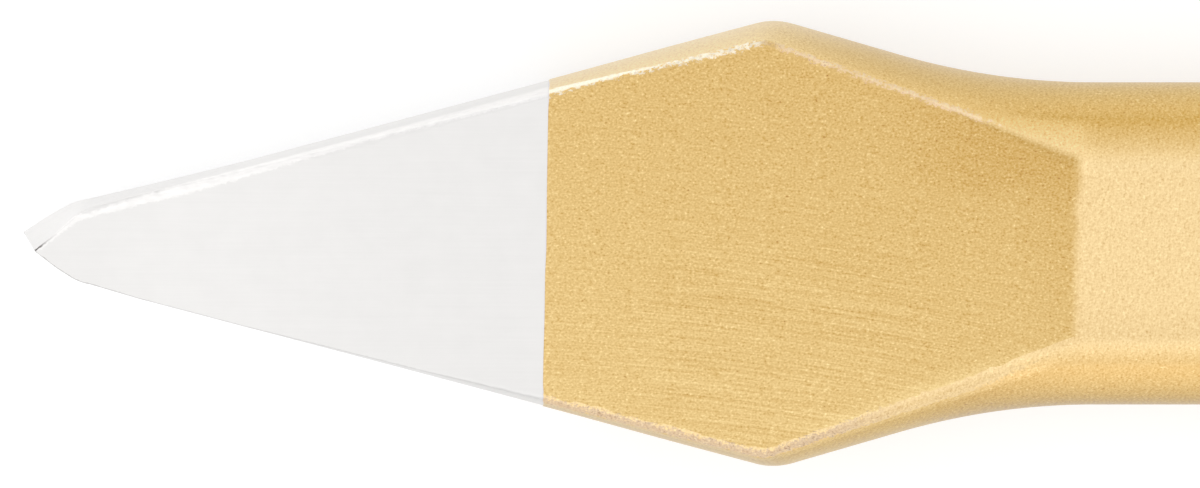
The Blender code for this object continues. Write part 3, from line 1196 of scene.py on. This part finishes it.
@dataclass(frozen=True)
class SoftBox:
    """A soft studio lamp that looks at the chisel's head.

    Attributes:
        toward: direction from the chisel to the lamp.
        distance: how far away it is.
        width: its size along its own X.
        height: its size along its own Y.
        radiance: how bright its face is, where 1 is white.
    """

    name: str
    toward: Triple
    distance: float
    width: float
    height: float
    radiance: float

    def place(self, aim: Vector) -> bpy.types.Object:
        """Sets the lamp up.

        Args:
            aim: the point that it looks at.

        Returns:
            The lamp, which the camera doesn't see.
        """
        light = bpy.data.lights.new(self.name, "AREA")
        light.shape = "RECTANGLE"
        light.size, light.size_y = self.width, self.height
        light.energy = self.radiance * math.pi * self.width * self.height
        lamp = bpy.data.objects.new(self.name, light)
        direction = Vector(self.toward).normalized()
        lamp.location = aim + direction * self.distance
        lamp.rotation_mode = "QUATERNION"
        lamp.rotation_quaternion = (-direction).to_track_quat("-Z", "Y")
        lamp.visible_camera = False
        bpy.context.scene.collection.objects.link(lamp)
        return lamp


@dataclass
class Studio:
    """The pale floor, the soft lamps, the white surround and the camera."""

    low: Vector
    high: Vector
    picture_width: int = 1200
    picture_height: int = 488
    pixels_per_metre: float = 15970.0
    edge_column: float = 21.44
    axis_row: float = 243.4
    camera_distance: float = 0.9
    camera_tilt: float = math.radians(4.0)
    sensor: float = 36.0
    floor_size: float = 60.0
    floor_drop: float = 0.1 * MM
    floor_grey: float = 0.50
    floor_glow: float = 0.62
    mirrored_glow: float = 0.62
    surround: float = 0.75
    surround_swing: float = 0.22
    dark_toward: Triple = (0.55, 0.83, 0.0)
    boxes: Sequence[SoftBox] = field(
        default_factory=lambda: (
            SoftBox("overhead_box", (-0.15, -0.10, 1.0), 1.4, 2.2, 2.2, 0.50),
            SoftBox("side_box", (-0.36, 0.78, 0.52), 1.2, 0.64, 1.1, 0.45),
            SoftBox("near_box", (0.10, -0.95, 0.25), 1.2, 1.0, 0.6, 0.25),
        )
    )

    @property
    def aim(self) -> Vector:
        """Point on the axis that lies in the picture's middle column."""
        along = (self.picture_width / 2 - self.edge_column) / self.pixels_per_metre
        return Vector((self.low.x + along, 0.0, (self.low.z + self.high.z) / 2))

    def camera(self) -> bpy.types.Object:
        """Camera above the broad face, leaning towards +Y, at the photograph's distance and scale."""
        data = bpy.data.cameras.new("photo_camera")
        data.sensor_fit = "HORIZONTAL"
        data.sensor_width = self.sensor
        data.lens = self.sensor * self.pixels_per_metre * self.camera_distance / self.picture_width
        lean_sin, lean_cos = math.sin(self.camera_tilt), math.cos(self.camera_tilt)
        right, up = Vector((1.0, 0.0, 0.0)), Vector((0.0, lean_cos, -lean_sin))
        back = right.cross(up)
        below = (self.picture_height / 2 - self.axis_row) / self.pixels_per_metre
        made = bpy.data.objects.new("photo_camera", data)
        made.matrix_world = Matrix((right, up, back)).transposed().to_4x4()
        made.location = self.aim - up * below + back * self.camera_distance
        bpy.context.scene.collection.objects.link(made)
        bpy.context.scene.camera = made
        return made

    def glow(self, nodes: Nodes) -> Value:
        """The floor's own light: one level to the camera, one in mirrors and glass, and none elsewhere."""
        names = ("Is Camera Ray", "Is Glossy Ray", "Is Transmission Ray")
        seen, mirrored, through = (nodes.out("LightPath", name, {}) for name in names)
        return seen * self.floor_glow + (mirrored + through) * self.mirrored_glow

    def floor(self) -> bpy.types.Object:
        """Flat floor under the chisel: pale, white to the camera, and dimmed by the chisel's shadow."""
        half = self.floor_size / 2
        span = np.array([-half, half])
        x, y = np.meshgrid(span, span)
        corners = np.column_stack([x.ravel(), y.ravel(), np.full(4, self.low.z - self.floor_drop)])
        mesh = bpy.data.meshes.new("floor")
        mesh.from_pydata(corners, [], [(0, 1, 3, 2)])
        material = bpy.data.materials.new("floor")
        material.use_nodes = True
        nodes = Nodes(material.node_tree)
        nodes.tree.nodes.remove(nodes.tree.nodes["Principled BSDF"])
        matt = nodes.out("BsdfDiffuse", 0, {"Color": (self.floor_grey,) * 3})
        glow = nodes.out("Emission", 0, {"Strength": self.glow(nodes)})
        both = nodes.out("AddShader", 0, {0: matt, 1: glow})
        nodes.feed(nodes.tree.nodes["Material Output"].inputs["Surface"], both)
        mesh.materials.append(material)
        made = bpy.data.objects.new("floor", mesh)
        bpy.context.scene.collection.objects.link(made)
        return made

    def world(self) -> bpy.types.World:
        """Soft surround that darkens evenly to one side, and is white where the camera looks past the floor.

        Its level is a mean less a swing times the cosine of the angle to the dark side.

        Returns:
            The scene's world.
        """
        made = bpy.data.worlds.new("surround")
        made.use_nodes = True
        nodes = Nodes(made.node_tree)
        swing = -self.surround_swing * Vector(self.dark_toward).normalized()
        feeds = {0: nodes.out("TexCoord", "Generated", {}), 1: tuple(swing)}
        level = nodes.out("VectorMath", "Value", feeds, operation="DOT_PRODUCT") + self.surround
        seen = nodes.out("LightPath", "Is Camera Ray", {})
        background = nodes.tree.nodes["Background"].inputs
        nodes.feed(background["Color"], (1.0, 1.0, 1.0))
        nodes.feed(background["Strength"], nodes.math("MAXIMUM", level, seen))
        bpy.context.scene.world = made
        return made

    def build(self) -> None:
        """Sets up the camera, the floor, the surround and the lamps."""
        self.camera()
        self.floor()
        self.world()
        for box in self.boxes:
            box.place(self.aim)
        bpy.context.scene.view_settings.view_transform = "Standard"
        LOG.info("studio: %d soft boxes", len(self.boxes))


def main() -> None:
    """Builds the forging, its lacquer and the studio, in that order."""
    logging.basicConfig(level=logging.INFO, format="%(name)s %(message)s")
    forging = Forging(*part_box("forged_steel"))
    forging.build(GroundSteel())
    _, film_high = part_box("lacquer_film")
    LacquerCoat(forging, film_high).build(GoldLacquer())
    Studio(*CAD_BOX).build()


if __name__ == "__main__":
    main()
